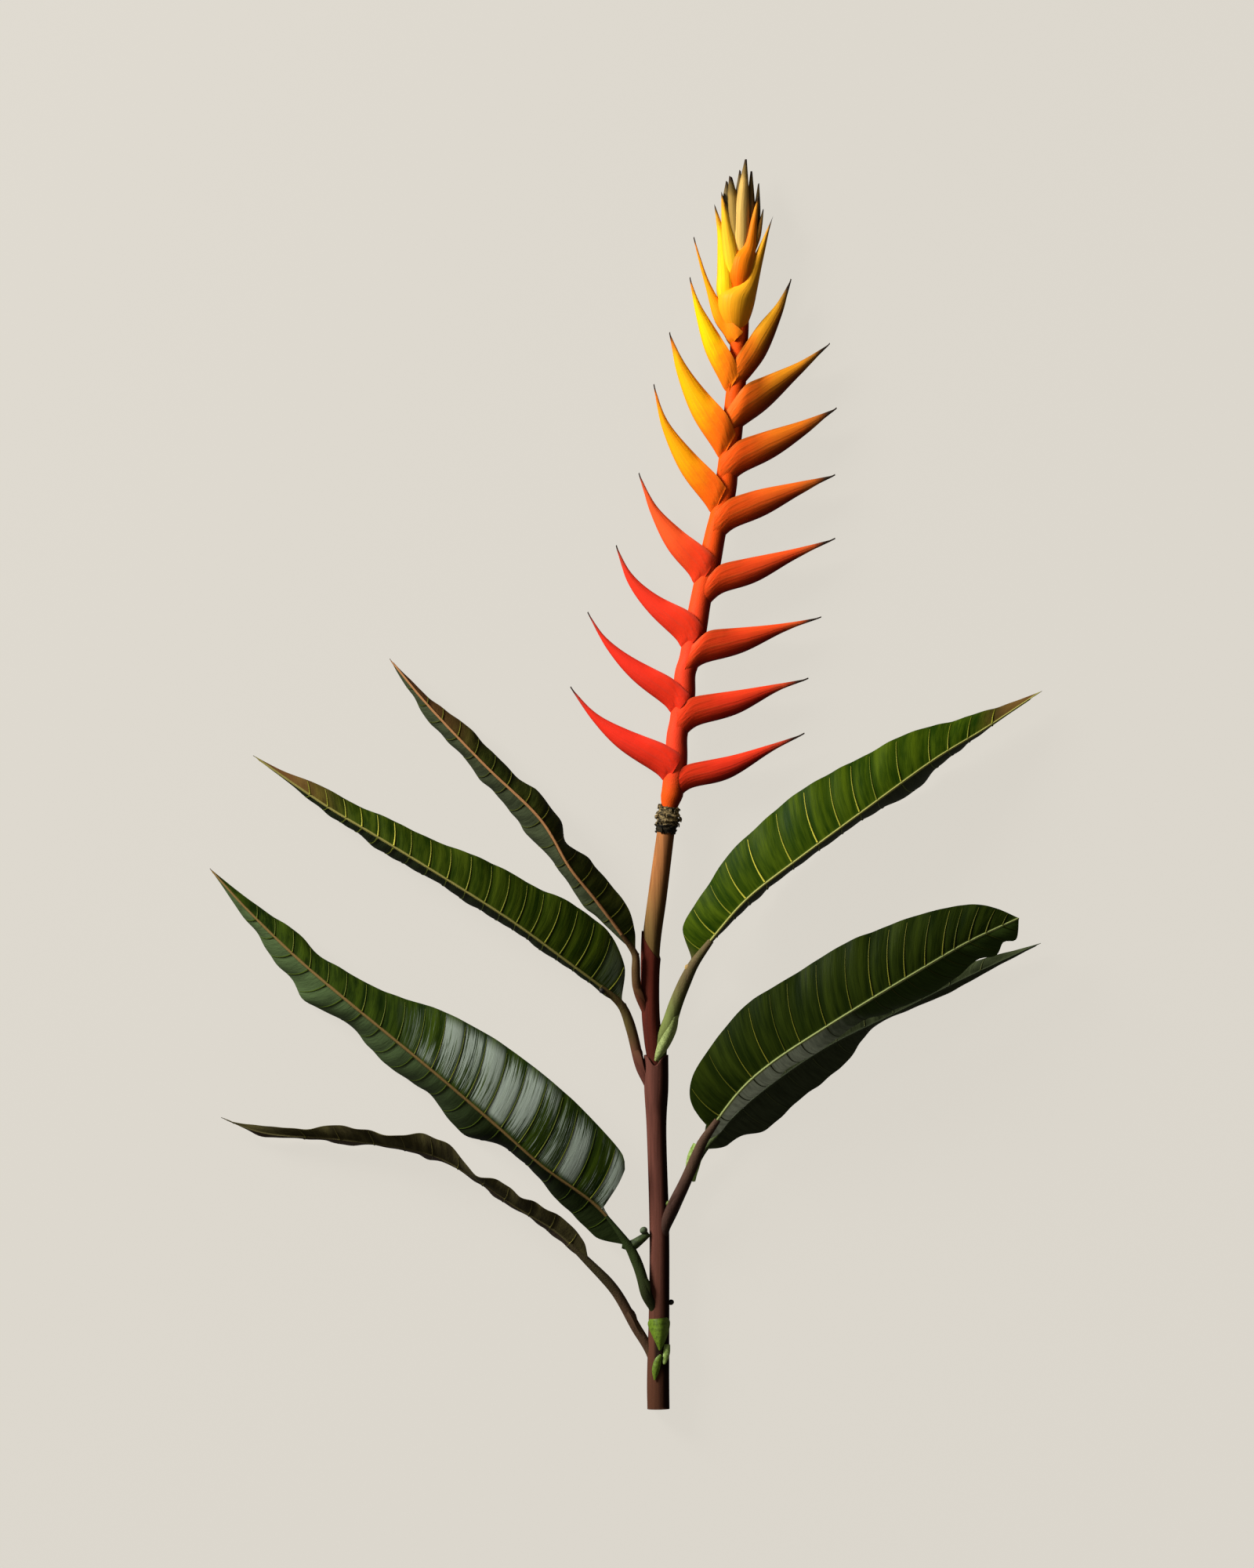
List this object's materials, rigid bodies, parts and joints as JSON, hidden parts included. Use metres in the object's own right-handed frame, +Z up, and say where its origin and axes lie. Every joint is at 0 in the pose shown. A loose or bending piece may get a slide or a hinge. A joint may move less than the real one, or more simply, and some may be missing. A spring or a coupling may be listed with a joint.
{
  "type": "cut heliconia flower",
  "caption": "Cut heliconia flower lying down: stem with stalked leaves and a spike of boat-shaped bracts.",
  "frame": {"origin": "centre of the part's box, on the surface that the flower lies on", "axes": "+Y from the cut end of the stem to the tip of the spike, +Z up from the surface, +X to the right as seen from above with the tip away from the viewer"},
  "size_m": [0.5311, 0.7956, 0.0481],
  "materials": {
    "stem_brown": "satin, purplish brown packed sheaths",
    "stalk_tan": "satin, tan with a dry papery collar",
    "leaf_green": "waxy satin with raised veins",
    "leaf_dry": "dry and matte",
    "bract_red": "waxy satin",
    "bract_orange": "waxy satin",
    "bract_yellow": "waxy satin",
    "bud_green": "waxy satin"
  },
  "bodies": {
    "root": {"lower_stem": "stem_brown", "peduncle": "stalk_tan", "rachis": "bract_orange", "apex_bud": "bract_yellow", "bud_scale": "bud_green", "bract_left_1": "bract_red", "bract_left_2": "bract_red", "bract_left_3": "bract_red", "bract_left_4": "bract_orange", "bract_left_5": "bract_orange", "bract_left_6": "bract_yellow", "bract_left_7": "bract_yellow", "bract_left_8": "bract_yellow", "bract_right_1": "bract_red", "bract_right_2": "bract_red", "bract_right_3": "bract_red", "bract_right_4": "bract_orange", "bract_right_5": "bract_orange", "bract_right_6": "bract_yellow", "bract_right_7": "bract_yellow", "bract_right_8": "bract_yellow", "leaf_left_1": "leaf_green", "leaf_left_2": "leaf_green", "leaf_left_3": "leaf_green", "leaf_left_4": "leaf_dry", "leaf_right_1": "leaf_green", "leaf_right_2": "leaf_green", "leaf_right_3": "leaf_green"}
  },
  "joints": []
}
